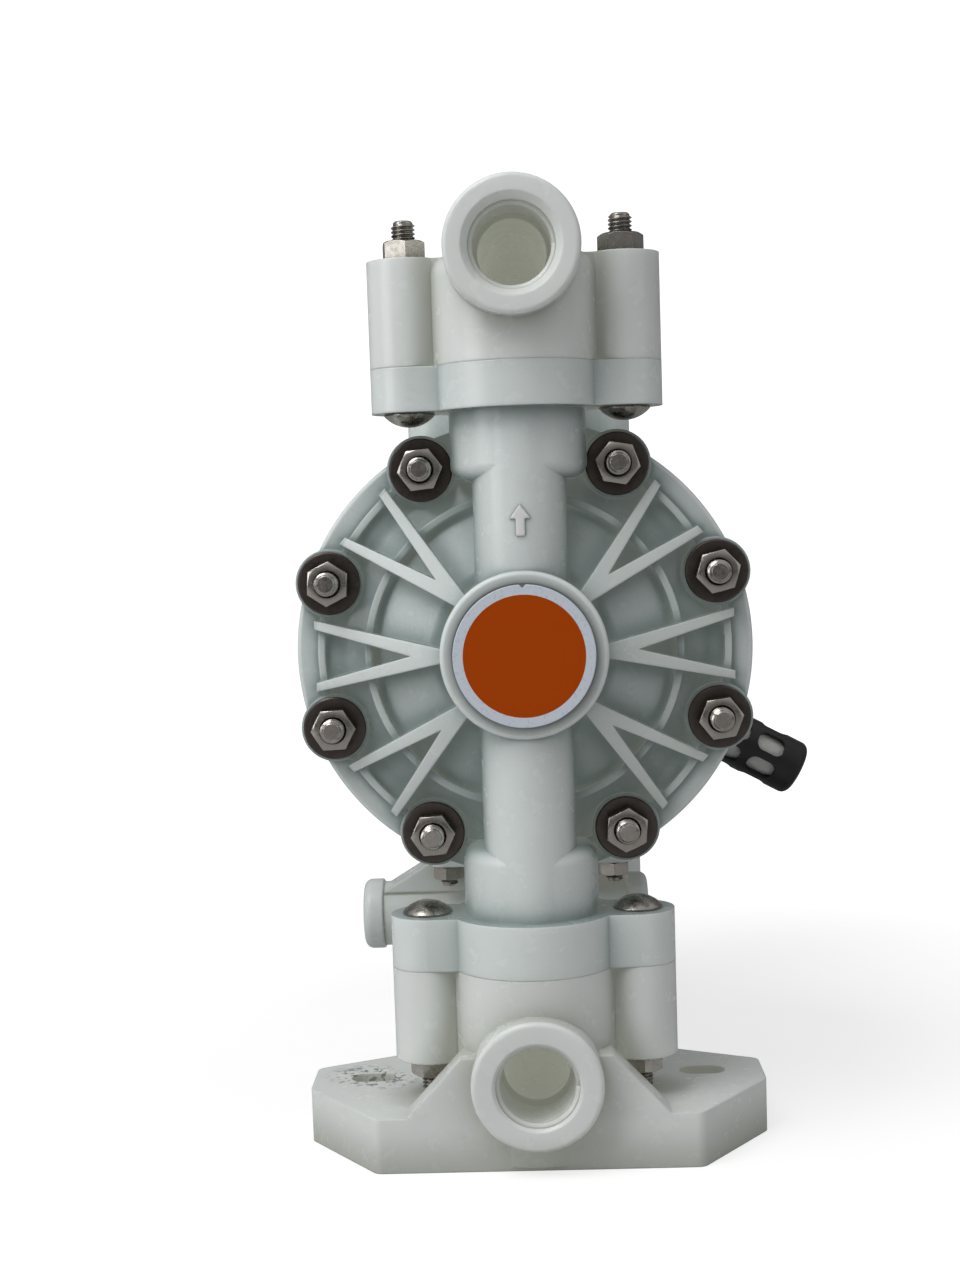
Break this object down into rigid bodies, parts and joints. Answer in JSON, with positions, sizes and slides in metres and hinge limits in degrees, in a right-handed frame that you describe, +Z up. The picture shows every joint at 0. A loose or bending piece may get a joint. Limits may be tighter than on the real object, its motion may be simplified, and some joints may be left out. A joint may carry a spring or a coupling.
{
  "type": "air operated diaphragm pump",
  "caption": "Plastic double diaphragm pump driven by air, with ball valves, manifolds with threaded ports, a slotted foot and an exhaust muffler.",
  "frame": {"origin": "on the floor, midway between the two feet, under the centre section", "axes": "+Z up; +Y along the diaphragm axis, away from the ports, which face -Y; +X towards the exhaust muffler"},
  "size_m": [0.142, 0.1923, 0.2433],
  "materials": {
    "cover_plastic": "satin",
    "manifold_plastic": "satin",
    "centre_plastic": "satin",
    "bush_plastic": "satin",
    "diaphragm": "satin",
    "plate_plastic": "satin",
    "plate_metal": "machined",
    "cover_steel": "satin",
    "stainless": "polished",
    "shaft_steel": "ground",
    "seat_plastic": "satin",
    "seal_rubber": "matte",
    "ball": "polished",
    "black_plastic": "satin",
    "felt": "rough"
  },
  "bodies": {
    "pump": {"front_fluid_cover": "cover_plastic", "front_air_cover": "centre_plastic", "front_shaft_bush": "bush_plastic", "front_diaphragm": "diaphragm", "front_cover_bolts": "cover_steel", "front_cover_washers": "cover_steel", "front_cover_nuts": "cover_steel", "front_inlet_seat": "seat_plastic", "front_inlet_seat_ring": "seal_rubber", "front_outlet_seat": "seat_plastic", "front_outlet_seat_ring": "seal_rubber", "rear_fluid_cover": "cover_plastic", "rear_air_cover": "centre_plastic", "rear_shaft_bush": "bush_plastic", "rear_diaphragm": "diaphragm", "rear_cover_bolts": "cover_steel", "rear_cover_washers": "cover_steel", "rear_cover_nuts": "cover_steel", "rear_inlet_seat": "seat_plastic", "rear_inlet_seat_ring": "seal_rubber", "rear_outlet_seat": "seat_plastic", "rear_outlet_seat_ring": "seal_rubber", "centre_body": "centre_plastic", "valve_housing": "centre_plastic", "valve_left_cap": "centre_plastic", "valve_right_cap": "centre_plastic", "muffler_cage": "black_plastic", "muffler_felt": "felt", "outlet_manifold": "manifold_plastic", "inlet_manifold": "manifold_plastic", "valve_bolts": "cover_steel", "valve_nuts": "cover_steel", "outlet_manifold_bolts": "stainless", "outlet_manifold_nuts": "stainless", "inlet_manifold_bolts": "stainless", "inlet_manifold_nuts": "stainless"},
    "shaft": {"main_shaft": "shaft_steel", "front_outer_plate": "plate_plastic", "front_inner_plate": "plate_metal", "rear_outer_plate": "plate_plastic", "rear_inner_plate": "plate_metal"},
    "pilot": {"pilot_rod": "shaft_steel"},
    "spool": {"valve_spool": "plate_metal"},
    "front_inlet_ball_body": {"front_inlet_ball": "ball"},
    "front_outlet_ball_body": {"front_outlet_ball": "ball"},
    "rear_inlet_ball_body": {"rear_inlet_ball": "ball"},
    "rear_outlet_ball_body": {"rear_outlet_ball": "ball"}
  },
  "joints": [
    {"name": "shaft_slide", "type": "slide", "parent": "pump", "child": "shaft", "axis": [0, 1, 0], "range_m": [-0.004, 0.004], "deforming": ["front_diaphragm", "rear_diaphragm"]},
    {"name": "pilot_slide", "type": "slide", "parent": "pump", "child": "pilot", "axis": [0, 1, 0], "range_m": [-0.0019, 0.0019]},
    {"name": "spool_slide", "type": "slide", "parent": "pump", "child": "spool", "axis": [1, 0, 0], "range_m": [-0.005, 0.005]},
    {"name": "front_inlet_lift", "type": "slide", "parent": "pump", "child": "front_inlet_ball_body", "axis": [0, 0, 1], "range_m": [0, 0.004]},
    {"name": "front_outlet_lift", "type": "slide", "parent": "pump", "child": "front_outlet_ball_body", "axis": [0, 0, 1], "range_m": [0, 0.004]},
    {"name": "rear_inlet_lift", "type": "slide", "parent": "pump", "child": "rear_inlet_ball_body", "axis": [0, 0, 1], "range_m": [0, 0.004]},
    {"name": "rear_outlet_lift", "type": "slide", "parent": "pump", "child": "rear_outlet_ball_body", "axis": [0, 0, 1], "range_m": [0, 0.004]}
  ]
}
